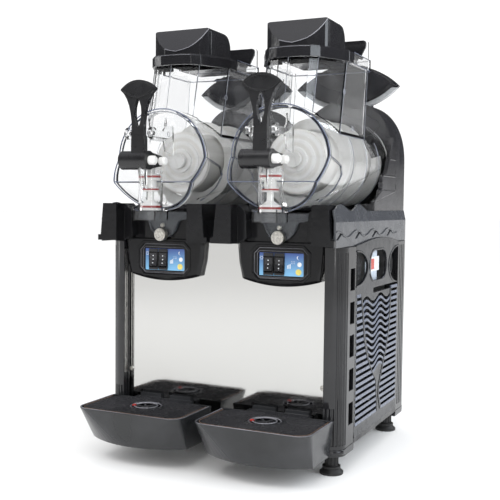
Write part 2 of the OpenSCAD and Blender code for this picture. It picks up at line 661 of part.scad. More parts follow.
// ---------- rear casing, motor, crest ----------
function arch(g) = [for (i = [0:40]) let(t = 180 * i / 40, c = cos(t), q = sin(t))
  [(87 + g) * sign(c) * pow(abs(c), 2 / 2.3), 470 + (107 + g) * pow(abs(q), 2 / 2.3)]];
module casing(s) color("#1c1d20") unit(s) difference() {
  union() {
    xz(bowl_back + 0.4, casing_back) polygon(concat([[87, deck_z]], arch(0), [[-87, deck_z]]));
    // stepped cheeks either side of the bowl
    for (k = [-1, 1]) side(k) {
      yz(81, 88) polygon([[167, deck_z], [167, 402], [196, 408], [199, 420], [209, 424],
        [210, 444], [236, 452],
        [250, 474], [262, 500], [271, 512], [310, 512], [310, deck_z]]);
      yz(88, 88.9) polygon([[168, 404], [206, 421], [284, 421], [284, 419.6], [170, 402]]);
      yz(87.8, 88.9) polygon([[212, 446.4], [284, 446.4], [284, 444.6], [212, 444.6]]);
      yz(87.8, 88.9) polygon([[252, 475.4], [284, 475.4], [284, 473.6], [252, 473.6]]);
      bx([64, 167, deck_z], [82, 271, 398]);
    }
  }
  // the bowl lies in the cradle
  cy(bowl_r + 3.4, 150, bowl_back + 0.3, 0, bowl_z, 128);
  // room for the motor, open below
  bx([-70, 276, deck_z - 1], [70, 339, 520]);
  cy(shaft_r + run, 260, 280, 0, bowl_z);
  // slots at the rear edge of each step
  for (k = [-1, 1]) side(k) for (z = [425, 450, 479]) bx([85, 286, z], [90, 289, z + 8]);
  // vents at the back
  for (i = [0:6]) bx([-40, 338, 470 + i * 9], [40, 347, 474 + i * 9]);
}
module gearmotors() color("#7c7f82") for (s = [-1, 1]) unit(s) difference() {
  union() {
    bx([-44, 282, 424], [44, 334, 502]);
    translate([0, 308, deck_z + 0.2]) cylinder(h = 52.3, r = 13.6);
    cy(18, 276.2, 282, 0, bowl_z);
  }
  cy(shaft_r + run, 270, 302, 0, bowl_z);
}
module crests() color("#141416") for (s = [-1, 1]) unit(s) difference() {
  union() {
    xz(280, 288) intersection() {
      translate([0, 600 + 40 - 129.3]) circle(129.3, $fn = 128);
      translate([0, 600 - 38 + 129.3]) circle(129.3, $fn = 128);
    }
    xz(272, 280) intersection() {
      translate([0, 602 + 36 - 118]) circle(118, $fn = 128);
      translate([0, 602 - 30 + 118]) circle(118, $fn = 128);
    }
    xz(288, 300) polygon([[-44, 560], [44, 560], [34, 600], [-34, 600]]);
  }
  xz(260, 350) polygon(concat([[87.2, 400]], arch(0.2), [[-87.2, 400]]));
}

// ---------- lid ----------
module lid_box(z0, z1, e) intersection() {
  xy(z0, z1) polygon([[-51 + e, 118], [-51 + e, 50 + e * 0.6], [-49.4 + e, 45 + e], [-46 + e, 41.4 + e],
    [-38 + e, 35 + e], [-22, 28 + e], [0, 25 + e],
    [22, 28 + e], [38 - e, 35 + e], [46 - e, 41.4 + e], [49.4 - e, 45 + e], [51 - e, 50 + e * 0.6],
    [51 - e, 118]]);
    // sloping front facet, and a round top edge at the back
  yz(-80, 80) polygon(concat([[46 + e, lid_top - e], [24.6 + e, 636], [24 + e, 600], [117 - e, 600]],
    [for (a = [0:10:90]) [91 + (26 - e) * cos(a), lid_top - 26 + (26 - e) * sin(a)]]));
  // round top corners
  xz(0, 130) polygon(concat([[-80, 600], [80, 600], [80, lid_top - 6]],
    [for (k = [1, -1]) each [for (i = [0:5]) let(a = k > 0 ? i * 18 : 90 + i * 18)
      [k * (45 - e) + 6 * cos(a), lid_top - 6 - e + 6 * sin(a)]]], [[-80, lid_top - 6]]));
}
module lid(s) color("#18191b") unit(s) difference() {
  union() {
    // skirt round the front part of the hopper
    intersection() {
      union() {
        xy(skirt_z, skirt_top) polygon(prow(4.3));
        xy(skirt_top, skirt_top + 2) polygon(prow(2.6));
      }
      bx([-90, 0, 600], [90, 102, 650]);
    }
    lid_box(skirt_top - 4, lid_top, 0);
    // low deck over the rear part
    bx([-44, 110, hopper_top + 3], [44, 186, skirt_top + 4]);
    // upright plate at the rear
    xz(182.4, 185.6) polygon([[-40, 624], [40, 624], [47, 634], [53, 632], [59, 644], [63.4, 652],
      [63.8, 658.6], [62.4, 661.6], [59.6, 663], [-59.6, 663], [-62.4, 661.6], [-63.8, 658.6],
      [-63.4, 652], [-59, 644], [-53, 632], [-47, 634]]);
    // locating peg
    translate([-62, 82, skirt_top - 1]) cylinder(h = 12, r = 2.6);
  }
  // hollow inside the skirt and the box
    xy(skirt_z - 1, hopper_top + 0.6) polygon(prow(1.1));
  intersection() {
    xy(skirt_z - 1, skirt_top - 3) polygon(prow(1.1));
    bx([-90, 0, 600], [90, 99, 650]);
  }
  lid_box(skirt_z - 1, lid_top - 3, 3);
}

// ---------- tap lever and piston ----------
module lever_plan() polygon(concat(
  [[11, 462], [10.8, 489], [10.2, 502], [10.8, 516], [12.4, 528], [15, 539], [19, 549], [24, 557],
    [30.5, 563]],
  [for (i = [6:-1:-6]) let(x = i * 4.8) [x, 537 + sqrt(40.2 * 40.2 - x * x)]],
  [[-30.5, 563], [-24, 557], [-19, 549], [-15, 539], [-12.4, 528], [-10.8, 516], [-10.2, 502],
    [-10.8, 489], [-11, 462]]));
module lever(s) color("#151517") unit(s) difference() {
  union() {
    xz(-84, -76.5) lever_plan();
    // thicker neck and paddle
    xz(-85, -74) intersection() { lever_plan(); translate([-20, 455]) square([40, 40]); }
    xz(-86, -75) intersection() { translate([0, 534.6]) circle(41, $fn = 96); translate([0,
      590.6]) circle(39, $fn = 96); lever_plan(); }
    cx(14, -31, 16, pivot_y, pivot_z, 64);
    cx(12.6, -32, -31, pivot_y, pivot_z, 64);
    // cheeks that reach back to the piston pin
    for (k = [-1, 1]) side(k) yz(10, 16) polygon([[pivot_y, pivot_z - 13],
      [tap_y - 4, pivot_z - 9], [tap_y + 5, pivot_z - 8],
      [tap_y + 10, pivot_z - 3], [tap_y + 10, pivot_z + 4], [tap_y + 5, pivot_z + 8.5],
        [tap_y - 4, pivot_z + 9], [pivot_y, pivot_z + 13]]);
  }
  // slot in the handle
  xz(-90, -70) polygon([[0, 551], [3, 546], [5.4, 538], [6.2, 529], [5.2, 519], [3, 511], [0, 506],
    [-3, 511], [-5.2, 519], [-6.2, 529], [-5.4, 538], [-3, 546]]);
  // shallow lens on the front of the paddle
  xz(-90, -85) intersection() {
    translate([0, 534.6]) circle(39, $fn = 96);
    translate([0, 590.6]) circle(37, $fn = 96);
  }
  // room for the lug of the bowl, over the whole swing of the lever
  yz(-5.6, 5.6) translate([pivot_y, pivot_z]) {
    circle(11.2);
    polygon([[0, 0], [20 * cos(24), 20 * sin(24)], [24, -4], [17, -17], [0, -22],
      [20 * cos(124), -20 * sin(124)]]);
  }
  cx(4 + run, -28, 20, pivot_y, pivot_z);
  // slots for the piston pin
  for (k = [-1, 1]) side(k) yz(9, 17) {
    translate([tap_y - 0.6, pivot_z]) circle(4.7, $fn = 48);
    translate([tap_y + 4.4, pivot_z]) circle(4.7, $fn = 48);
    translate([tap_y - 0.6, pivot_z - 4.7]) square([5, 9.4]);
  }
}
module pivot_pins() color("#eceae4") for (s = [-1, 1]) unit(s) {
  cx(4, -27.6, 16.4, pivot_y, pivot_z);
  cx(6.8, 16.4, 25, pivot_y, pivot_z);
  cx(5.2, 25, 27, pivot_y, pivot_z);
}
module piston(s) color("#e9e8e3") unit(s) translate([0, tap_y, 0]) difference() {
  union() {
    translate([0, 0, 384.5]) cylinder(h = 10, r = tap_r - 0.3);
    translate([0, 0, 394.5]) cylinder(h = 6, r1 = 13, r2 = 5.2);
    translate([0, 0, 400]) cylinder(h = 16, r = 5);
    translate([0, 0, 413]) cylinder(h = 2.2, r = 12);
    translate([0, 0, 417.6]) cylinder(h = 2.2, r = 12);
    translate([0, 0, 413]) cylinder(h = 18, r = 9);
    translate([0, 0, 430]) cylinder(h = 10, r = tap_r - 0.3);
    translate([0, 0, 439]) cylinder(h = 14, r = 7);
    bx([-9, -8, 451], [9, 8, 466]);
  }
  // grooves of the sealing rings
  for (z = [388.4, 434]) translate([0, 0, z]) difference() {
    cylinder(h = 3.2, r = tap_r + 1);
    translate([0, 0, -1]) cylinder(h = 6, r = tap_r - 3);
  }
  cx(4, -10, 10, 0, pivot_z);
}
module piston_rings(s) color("#a5281c") unit(s) translate([0, tap_y, 0]) {
  for (z = [388.5, 434.1]) translate([0, 0, z]) difference() {
    cylinder(h = 3, r = tap_r - 0.1);
    translate([0, 0, -1]) cylinder(h = 6, r = tap_r - 3 + 0.02);
  }
  translate([0, 0, 415.3]) difference() {
    cylinder(h = 2.2, r = 12.6);
    translate([0, 0, -1]) cylinder(h = 6, r = 9.02);
  }
}
module piston_pin(s) color("#eceae4") unit(s) {
  cx(4, -18, 16.8, tap_y, pivot_z);
  cx(6.4, 16.8, 25, tap_y, pivot_z);
  cx(5, 25, 26.6, tap_y, pivot_z);
}

base_pan();
front_panel();
side_panel(-1);  // side_panel_left
side_panel(1);  // side_panel_right
rear_panel();
front_pillars();
rear_pillars();
feet();
upper_housing();
screws();
compressor();
condenser();
fan_motor();
fan();
power_inlet();
pivot_pins();
fascia(-1);  // fascia_left
fascia(1);  // fascia_right
bib(-1);  // bib_left
bib(1);  // bib_right
knob(-1);  // knob_left
knob(1);  // knob_right
control_plate(-1);  // control_plate_left
control_plate(1);  // control_plate_right
rocker(-1, -20.35);  // rocker_a_left
rocker(-1, -2.85);  // rocker_b_left
rocker(1, -20.35);  // rocker_a_right
rocker(1, -2.85);  // rocker_b_right
tray(-1);  // tray_left
tray(1);  // tray_right
grid(-1);  // grid_left
grid(1);  // grid_right
float(-1);  // float_left
float(1);  // float_right
bowl(-1);  // bowl_left
bowl(1);  // bowl_right
evaporator(-1);  // evaporator_left
evaporator(1);  // evaporator_right
auger(-1);  // auger_left
auger(1);  // auger_right
auger_shaft(-1);  // auger_shaft_left
auger_shaft(1);  // auger_shaft_right
casing(-1);  // casing_left
casing(1);  // casing_right
gearmotors();
hopper(-1);  // hopper_left
hopper(1);  // hopper_right
spout(-1);  // spout_left
spout(1);  // spout_right
lid(-1);  // lid_left
lid(1);  // lid_right
crests();
lever(-1);  // lever_left
lever(1);  // lever_right
piston(-1);  // piston_left
piston(1);  // piston_right
piston_rings(-1);  // piston_rings_left
piston_rings(1);  // piston_rings_right
piston_pin(-1);  // piston_pin_left
piston_pin(1);  // piston_pin_right
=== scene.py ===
"""Looks of the twin-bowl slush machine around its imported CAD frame. Metres, +Z up, front towards -Y."""
import json
import math

import bmesh
import bpy
from mathutils import Matrix, Vector


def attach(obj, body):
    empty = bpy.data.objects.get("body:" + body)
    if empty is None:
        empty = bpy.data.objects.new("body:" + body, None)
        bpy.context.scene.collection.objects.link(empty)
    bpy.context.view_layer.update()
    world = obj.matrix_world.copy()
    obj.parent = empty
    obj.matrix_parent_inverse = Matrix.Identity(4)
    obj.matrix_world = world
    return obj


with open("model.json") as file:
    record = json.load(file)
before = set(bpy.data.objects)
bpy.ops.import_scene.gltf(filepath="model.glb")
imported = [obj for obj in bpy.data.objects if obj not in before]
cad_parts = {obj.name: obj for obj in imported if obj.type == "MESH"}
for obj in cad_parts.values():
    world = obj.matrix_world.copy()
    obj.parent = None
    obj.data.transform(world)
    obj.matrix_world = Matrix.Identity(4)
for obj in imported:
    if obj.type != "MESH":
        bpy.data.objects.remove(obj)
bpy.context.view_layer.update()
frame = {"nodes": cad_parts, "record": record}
NODES = frame["nodes"]
UNITS = ("left", "right")
UNIT_X = {"left": -100, "right": 100}  # middle of each unit, in millimetres
Y0 = -0.114  # the stainless front panel's reference plane in the frame


def at(x, y, z):
    """A point given in millimetres, y counted from the stainless front panel."""
    return Vector((x / 1000, y / 1000 + Y0, z / 1000))


# ---------------------------------------------------------------- camera


def make_camera():
    """Camera at the height of the bowls' foot, in front and to the right of the machine."""
    yaw, pitch, roll = 0.440, 0.057, 0.011
    ahead = Vector((-math.sin(yaw) * math.cos(pitch), math.cos(yaw) * math.cos(pitch), -math.sin(pitch)))
    right = Vector((math.cos(yaw), math.sin(yaw), 0))
    up = right.cross(ahead)
    right, up = (
        math.cos(roll) * right + math.sin(roll) * up,
        -math.sin(roll) * right + math.cos(roll) * up,
    )
    data = bpy.data.cameras.new("camera")
    data.sensor_width = 36
    data.lens = 61.48
    data.shift_x = -0.0075
    data.shift_y = 0.0072
    data.clip_end = 100
    camera = bpy.data.objects.new("camera", data)
    camera.matrix_world = Matrix((right, up, -ahead)).transposed().to_4x4()
    camera.location = (0.5995, -1.1613 + Y0, 0.3945)
    bpy.context.scene.collection.objects.link(camera)
    bpy.context.scene.camera = camera


make_camera()

# ---------------------------------------------------------------- materials


class Shader:
    """A Principled material with short calls for the nodes that vary it over the surface."""

    def __init__(self, name, colour, roughness=0.4, **sockets):
        self.material = bpy.data.materials.new(name)
        self.material.use_nodes = True
        self.tree = self.material.node_tree
        self.bsdf = self.tree.nodes["Principled BSDF"]
        self.bsdf.inputs["Base Color"].default_value = (*colour, 1)
        self.bsdf.inputs["Roughness"].default_value = roughness
        for key, value in sockets.items():
            self.bsdf.inputs[key.replace("_", " ")].default_value = value
        self.where = self.node("TexCoord").outputs["Object"]

    def node(self, kind, **values):
        made = self.tree.nodes.new("ShaderNode" + kind)
        for key, value in values.items():
            if key in made.inputs:
                made.inputs[key].default_value = value
            else:
                setattr(made, key, value)
        return made

    def link(self, a, b):
        self.tree.links.new(a, b)

    def noise(self, scale, detail=3.0, stretch=(1, 1, 1), rough=0.5):
        mapping = self.node("Mapping")
        mapping.inputs["Scale"].default_value = stretch
        self.link(self.where, mapping.inputs["Vector"])
        made = self.node("TexNoise", Scale=scale, Detail=detail, Roughness=rough)
        self.link(mapping.outputs["Vector"], made.inputs["Vector"])
        return made.outputs["Fac"]

    def spread(self, fac, low, high, start=0.35, end=0.65):
        """fac from start..end becomes low..high."""
        made = self.node("MapRange")
        made.inputs["From Min"].default_value = start
        made.inputs["From Max"].default_value = end
        made.inputs["To Min"].default_value = low
        made.inputs["To Max"].default_value = high
        self.link(fac, made.inputs["Value"])
        return made.outputs["Result"]

    def tint(self, fac, a, b, start=0.35, end=0.65):
        """Base colour from a to b with fac."""
        ramp = self.node("ValToRGB")
        ramp.color_ramp.elements[0].position = start
        ramp.color_ramp.elements[0].color = (*a, 1)
        ramp.color_ramp.elements[1].position = end
        ramp.color_ramp.elements[1].color = (*b, 1)
        self.link(fac, ramp.inputs["Fac"])
        self.link(ramp.outputs["Color"], self.bsdf.inputs["Base Color"])

    def height_tint(self, low, high, a, b):
        """Base colour from a at height low to b at height high, a little uneven."""
        split = self.node("SeparateXYZ")
        self.link(self.where, split.inputs["Vector"])
        fac = self.spread(split.outputs["Z"], 0, 1, low, high)
        uneven = self.node("Mix", data_type="FLOAT")
        uneven.inputs[0].default_value = 0.06
        self.link(fac, uneven.inputs[2])
        self.link(self.noise(18, 3), uneven.inputs[3])
        self.tint(uneven.outputs[0], a, b, 0.0, 1.0)

    def roughness(self, fac, low, high):
        self.link(self.spread(fac, low, high), self.bsdf.inputs["Roughness"])

    def relief(self, fac, strength, distance, edge=0.0):
        """Fine relief from fac, over edges rounded by the radius edge."""
        bump = self.node("Bump", Strength=strength, Distance=distance)
        if fac is not None:
            self.link(fac, bump.inputs["Height"])
        if edge:
            rounded = self.node("Bevel", Radius=edge)
            rounded.samples = 4
            self.link(rounded.outputs["Normal"], bump.inputs["Normal"])
        self.link(bump.outputs["Normal"], self.bsdf.inputs["Normal"])


def black_gloss(name="black_gloss", level=0.5, dark=0.006, light=0.014, rough=(0.07, 0.17)):
    """Glossy black moulding; level is how strongly it mirrors the room."""
    s = Shader(name, (dark, dark, dark), 0.12)
    s.bsdf.inputs["Specular IOR Level"].default_value = level
    s.tint(s.noise(9, 4), (dark, dark, dark * 1.15), (light, light, light * 1.12))
    s.roughness(s.noise(38, 5), *rough)
    s.relief(s.noise(55, 2), 0.05, 0.004, edge=0.0014)
    return s.material


def black_satin(name="black_satin", dark=0.010, light=0.022, rough=(0.28, 0.42)):
    s = Shader(name, (0.02, 0.02, 0.022), 0.35)
    s.tint(s.noise(12, 4), (dark, dark, dark * 1.1), (light, light, light * 1.1))
    s.roughness(s.noise(60, 5), *rough)
    s.relief(s.noise(1400, 2), 0.12, 0.0004, edge=0.001)
    return s.material


def side_grey(name="side_grey", a=(0.030, 0.032, 0.038), b=(0.085, 0.09, 0.10), level=0.6):
    """Spark-textured dark grey moulding of the sides and the upper housing."""
    s = Shader(name, (0.05, 0.053, 0.06), 0.3)
    s.bsdf.inputs["Specular IOR Level"].default_value = level
    s.tint(s.noise(1300, 2), a, b, 0.25, 0.8)
    s.roughness(s.noise(45, 4), 0.16, 0.30)
    s.relief(s.noise(1500, 2), 0.1, 0.0002, edge=0.0012)
    return s.material


def mirror_steel():
    """Polished sheet, with painted shade that makes it a little darker and warmer towards the trays."""
    s = Shader("mirror_steel", (0.84, 0.84, 0.82), 0.05, Metallic=1.0)
    s.height_tint(0.05, 0.30, (0.47, 0.467, 0.452), (0.63, 0.627, 0.612))
    s.roughness(s.noise(30, 4, (1, 1, 14)), 0.05, 0.10)
    s.relief(s.noise(4, 1, (1, 1, 2)), 0.03, 0.01)
    return s.material


def brushed_steel():
    s = Shader("brushed_steel", (0.62, 0.61, 0.59), 0.28, Metallic=1.0)
    s.tint(s.noise(12, 4, (1, 30, 1)), (0.54, 0.53, 0.51), (0.70, 0.69, 0.67))
    s.roughness(s.noise(60, 4, (1, 30, 1)), 0.22, 0.38)
    return s.material


def galvanised():
    s = Shader("galvanised", (0.5, 0.51, 0.52), 0.42, Metallic=0.9)
    s.tint(s.noise(60, 5), (0.40, 0.41, 0.42), (0.60, 0.61, 0.62))
    s.roughness(s.noise(25, 4), 0.34, 0.52)
    return s.material


def clear_plastic():
    s = Shader("clear_plastic", (0.975, 0.98, 0.985), 0.02, IOR=1.38)
    s.bsdf.inputs["Transmission Weight"].default_value = 1.0
    s.roughness(s.noise(14, 3), 0.0, 0.03)
    s.relief(s.noise(16, 2), 0.06, 0.004)
    return s.material


def edge_painted_shade():
    """Thick edges of the clear mouldings, painted blue grey as shade for the dark refraction in them."""
    s = Shader("edge_painted_shade", (0.16, 0.19, 0.30), 0.08, IOR=1.45)
    s.bsdf.inputs["Transmission Weight"].default_value = 0.45
    s.tint(s.noise(40, 3), (0.10, 0.12, 0.20), (0.30, 0.34, 0.46))
    return s.material


def edge_painted_highlight():
    """Thin edges of the clear mouldings, painted pale as a highlight where they catch the light."""
    s = Shader("edge_painted_highlight", (0.5, 0.53, 0.60), 0.06, IOR=1.45)
    s.bsdf.inputs["Transmission Weight"].default_value = 0.6
    s.tint(s.noise(40, 3), (0.36, 0.38, 0.46), (0.72, 0.75, 0.82))
    return s.material


def smoky_plastic():
    s = Shader("smoky_plastic", (0.33, 0.35, 0.38), 0.06, IOR=1.4)
    s.bsdf.inputs["Transmission Weight"].default_value = 0.85
    s.tint(s.noise(20, 3), (0.26, 0.28, 0.31), (0.36, 0.38, 0.41))
    s.relief(s.noise(30, 2), 0.04, 0.003, edge=0.0008)
    return s.material


def tray_grey():
    s = Shader("tray_grey", (0.025, 0.026, 0.028), 0.2)
    s.tint(s.noise(14, 4), (0.016, 0.017, 0.018), (0.030, 0.031, 0.034))
    s.roughness(s.noise(35, 5), 0.12, 0.24)
    s.relief(s.noise(24, 3), 0.06, 0.004, edge=0.0018)
    return s.material


def white_plastic():
    s = Shader("white_plastic", (0.80, 0.80, 0.78), 0.3)
    s.tint(s.noise(30, 4), (0.74, 0.735, 0.71), (0.85, 0.845, 0.83))
    s.roughness(s.noise(60, 4), 0.24, 0.40)
    s.relief(s.noise(300, 2), 0.05, 0.0005, edge=0.0008)
    return s.material


def drum_white(name, x):
    """Moulded drum in the bowl, with turned rings round its axis at x."""
    s = Shader(name, (0.74, 0.73, 0.70), 0.3)
    mapping = s.node("Mapping")
    mapping.inputs["Location"].default_value = (-x, 0, -0.463)
    s.link(s.where, mapping.inputs["Vector"])
    rings = s.node("TexWave", Scale=26.0, Distortion=0.6, Detail=2.0)
    rings.wave_type = "RINGS"
    rings.rings_direction = "Y"
    s.link(mapping.outputs["Vector"], rings.inputs["Vector"])
    s.tint(rings.outputs["Fac"], (0.78, 0.765, 0.73), (0.88, 0.875, 0.86), 0.1, 0.8)
    s.relief(rings.outputs["Fac"], 0.15, 0.0006, edge=0.0008)
    return s.material


def red_plastic(name, dark, light):
    s = Shader(name, dark, 0.35)
    s.tint(s.noise(80, 4), dark, light)
    s.roughness(s.noise(60, 4), 0.28, 0.45)
    return s.material


def nickel():
    s = Shader("nickel", (0.50, 0.48, 0.44), 0.3, Metallic=1.0)
    s.tint(s.noise(300, 4), (0.52, 0.50, 0.46), (0.78, 0.76, 0.70))
    s.roughness(s.noise(200, 4), 0.26, 0.42)
    s.relief(s.noise(900, 3), 0.12, 0.0003, edge=0.0005)
    return s.material


def painted_black():
    s = Shader("painted_black", (0.015, 0.015, 0.016), 0.4)
    s.tint(s.noise(50, 4), (0.010, 0.010, 0.011), (0.03, 0.03, 0.03))
    s.roughness(s.noise(30, 4), 0.3, 0.5)
    return s.material


def cast_alloy():
    s = Shader("cast_alloy", (0.55, 0.55, 0.56), 0.45, Metallic=0.9)
    s.tint(s.noise(120, 5), (0.42, 0.42, 0.43), (0.64, 0.64, 0.65))
    s.relief(s.noise(500, 3), 0.2, 0.0005)
    return s.material


def rubber():
    s = Shader("foot_rubber", (0.015, 0.015, 0.015), 0.5)
    s.tint(s.noise(40, 4), (0.010, 0.010, 0.010), (0.025, 0.025, 0.025))
    s.relief(s.noise(400, 3), 0.1, 0.0005, edge=0.001)
    return s.material


def ink_and_painted_light(name, a, b):
    """Printed or moulded small parts, and painted light on the sill and the grid's edge, mottled between two
    near colours.
    """
    s = Shader(name, a, 0.3)
    s.tint(s.noise(260, 3), a, b)
    s.roughness(s.noise(90, 3), 0.22, 0.36)
    return s.material


def label_blue():
    """The label's blue field, deep at the top and pale at the bottom."""
    s = Shader("label_blue", (0.02, 0.1, 0.4), 0.18)
    s.height_tint(0.2895, 0.3245, (0.20, 0.47, 0.72), (0.035, 0.060, 0.24))
    s.roughness(s.noise(80, 3), 0.12, 0.25)
    return s.material


def sheet_paint():
    """Pale powder-coated sheet inside the body."""
    s = Shader("sheet_paint", (0.45, 0.52, 0.60), 0.4)
    s.tint(s.noise(90, 4), (0.40, 0.47, 0.55), (0.52, 0.58, 0.66))
    s.relief(s.noise(600, 3), 0.15, 0.0004)
    return s.material


def blade_painted_light():
    """Louvre blades, painted blue grey for the bluish light that falls on them where they lean to it."""
    s = Shader("blade_painted_light", (0.10, 0.12, 0.17), 0.28)
    s.bsdf.inputs["Specular IOR Level"].default_value = 0.45
    s.tint(s.noise(240, 4), (0.065, 0.078, 0.115), (0.15, 0.17, 0.225))
    s.roughness(s.noise(60, 4), 0.2, 0.36)
    return s.material


# darker, less glossy copy of the black gloss: painted shade on the fascia and control plate, which lie in the
# shadow of the ears and bowls
SHADED_BLACK = black_gloss("black_painted_shade", 0.28, 0.004, 0.009, (0.10, 0.22))
SATIN = black_satin()
LOOKS = {
    "black_gloss": black_gloss(),
    "black_satin": SATIN,
    "side_grey": side_grey(),
    "stainless": brushed_steel(),
    "galvanised": galvanised(),
    "clear": clear_plastic(),
    "smoky": smoky_plastic(),
    "tray_grey": tray_grey(),
    "white_plastic": white_plastic(),
    "seal_red": red_plastic("seal_red", (0.26, 0.014, 0.012), (0.38, 0.03, 0.025)),
    "float_red": red_plastic("float_red", (0.34, 0.012, 0.010), (0.50, 0.03, 0.02)),
    "nickel": nickel(),
    "motor_black": painted_black(),
    "motor_alloy": cast_alloy(),
    "switch": black_satin("switch_black", 0.006, 0.014, (0.22, 0.34)),
    "foot_rubber": rubber(),
}
CASING = black_gloss("casing_black", 0.8, 0.012, 0.030, (0.10, 0.20))


def dress(node, material):
    """Gives a CAD node its finished material."""
    for slot in NODES[node].material_slots:
        slot.link = "OBJECT"
        slot.material = material


for part in frame["record"]["subparts"]:
    dress(part["node"], LOOKS[part["material_slot"]])
dress("front_panel", mirror_steel())
dress("crests", CASING)
for u in UNITS:
    dress(f"casing_{u}", CASING)
    panel = side_grey(f"panel_grey_{u}", (0.006, 0.0065, 0.008), (0.022, 0.024, 0.029), 0.3)
    dress(f"side_panel_{u}", panel)
    dress(f"evaporator_{u}", drum_white(f"drum_white_{u}", UNIT_X[u] / 1000))
    # fascia in the painted shade copy of the black gloss
    dress(f"fascia_{u}", SHADED_BLACK)
    for k in "ab":
        dress(f"rocker_{k}_{u}", black_satin(f"rocker_grey_{k}_{u}", 0.018, 0.034, (0.2, 0.32)))
    # control plate in the same painted shade
    dress(f"control_plate_{u}", SHADED_BLACK)
    dress(f"lever_{u}", black_satin(f"lever_black_{u}", 0.008, 0.015, (0.24, 0.38)))
    dress(f"lid_{u}", black_gloss(f"lid_black_{u}", 0.7, 0.009, 0.015, (0.08, 0.15)))
    dress(f"grid_{u}", black_gloss(f"grid_black_{u}", 0.45, 0.016, 0.030, (0.18, 0.34)))

# ---------------------------------------------------------------- added pieces
# All points below are in millimetres, y counted from the stainless front panel.


def tube(name, lines, radius, material, body, closed=False):
    """Round beads along lines of points, as one piece."""
    data = bpy.data.curves.new(name, "CURVE")
    data.dimensions = "3D"
    data.bevel_depth = radius / 1000
    data.bevel_resolution = 3
    data.use_fill_caps = True
    for points in lines:
        line = data.splines.new("POLY")
        line.points.add(len(points) - 1)
        for knot, p in zip(line.points, points):
            knot.co = (*at(*p), 1)
        line.use_cyclic_u = closed
    data.materials.append(material)
    made = bpy.data.objects.new(name, data)
    bpy.context.scene.collection.objects.link(made)
    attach(made, body)


def solid(name, prisms, material, body, bevel=0.0):
    """Closed prisms as one piece: each has an outline and the step that thickens it."""
    bm = bmesh.new()
    for outline, step in prisms:
        low = [bm.verts.new(at(*p)) for p in outline]
        high = [bm.verts.new(v.co + Vector(step) / 1000) for v in low]
        bm.faces.new(low)
        bm.faces.new(high[::-1])
        for i in range(len(low)):
            k = (i + 1) % len(low)
            bm.faces.new((low[k], low[i], high[i], high[k]))
    bmesh.ops.recalc_face_normals(bm, faces=bm.faces)
    mesh = bpy.data.meshes.new(name)
    bm.to_mesh(mesh)
    bm.free()
    mesh.materials.append(material)
    made = bpy.data.objects.new(name, mesh)
    bpy.context.scene.collection.objects.link(made)
    if bevel:
        soft = made.modifiers.new("soft_edges", "BEVEL")
        soft.width = bevel / 1000
        soft.segments = 2
        soft.limit_method = "ANGLE"
    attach(made, body)


def arc(r, start, end, n, cx, cz, y):
    """Arc in an X-Z plane, angles in degrees from +X."""
    return [
        (cx + r * math.cos(math.radians(a)), y, cz + r * math.sin(math.radians(a)))
        for a in (start + (end - start) * i / n for i in range(n + 1))
    ]


def side_ring(x, y, z, r, n):
    """Circle of n points in a Y-Z plane."""
    turn = (i * math.tau / n for i in range(n))
    return [(x, y + r * math.cos(a), z + r * math.sin(a)) for a in turn]


def front_box(x0, x1, z0, z1, y):
    """Rectangle that faces the front."""
    return [(x0, y, z0), (x1, y, z0), (x1, y, z1), (x0, y, z1)]


def side_box(x, y0, y1, z0, z1):
    """Rectangle that faces a side."""
    return [(x, y0, z0), (x, y1, z0), (x, y1, z1), (x, y0, z1)]


def between_rows(table, x):
    """Value between the rows of a table of (x, value)."""
    if x <= table[0][0]:
        return table[0][1]
    for (a, va), (b, vb) in zip(table, table[1:]):
        if x <= b:
            return va + (vb - va) * (x - a) / (b - a)
    return table[-1][1]


# side view of the bowl's front: (z, y)
NOSE = [(376, -10), (428, -43), (466, -16), (560, -20)]
# line where the bowl's flank meets its front: (y, z)
FLANK = [
    (-15, 465.5), (8, 460), (30, 454), (39, 449), (44.5, 440), (44, 430), (40, 419), (33, 408), (26, 400),
]
BOWL_Z, BOWL_R = 463, 77.4
FUNNEL_TOP, FUNNEL_DEPTH, FUNNEL_X = 617, 147, 67
# upright edges of the funnel: x, y at its top, y at its foot, z where the edge ends
FUNNEL_EDGES = [(67, 82, 48, 502), (67, 184, 168, 502), (41, 30, -4, 529)]
RIM_LOW, RIM_HIGH = 613, 630


def bowl_beads(u):
    """Edges, crease and flange lines of the clear bowl, as blue grey beads of painted shade."""
    c = UNIT_X[u]
    for name, r, back, bead in (("bowl_rim", 78.3, -0.2, 0.9), ("bowl_rim_inner", 74.4, 1.2, 0.5)):
        circle = arc(r, 0, 357.5, 143, 0, BOWL_Z, 0)
        rim = [(x + c, between_rows(NOSE, z) + back, z) for x, y, z in circle]
        tube(f"{name}_{u}", [rim], bead, EDGE, "machine", closed=True)
    lines = [[(c + x, -43.3, 428) for x in (-69, -35, 0, 35, 69)]]
    for side in (-1, 1):
        reach = BOWL_R + 0.5
        lines.append([(c + side * math.sqrt(reach**2 - (z - BOWL_Z) ** 2), y, z) for y, z in FLANK])
    tube(f"bowl_crease_{u}", lines, 0.7, EDGE, "machine")


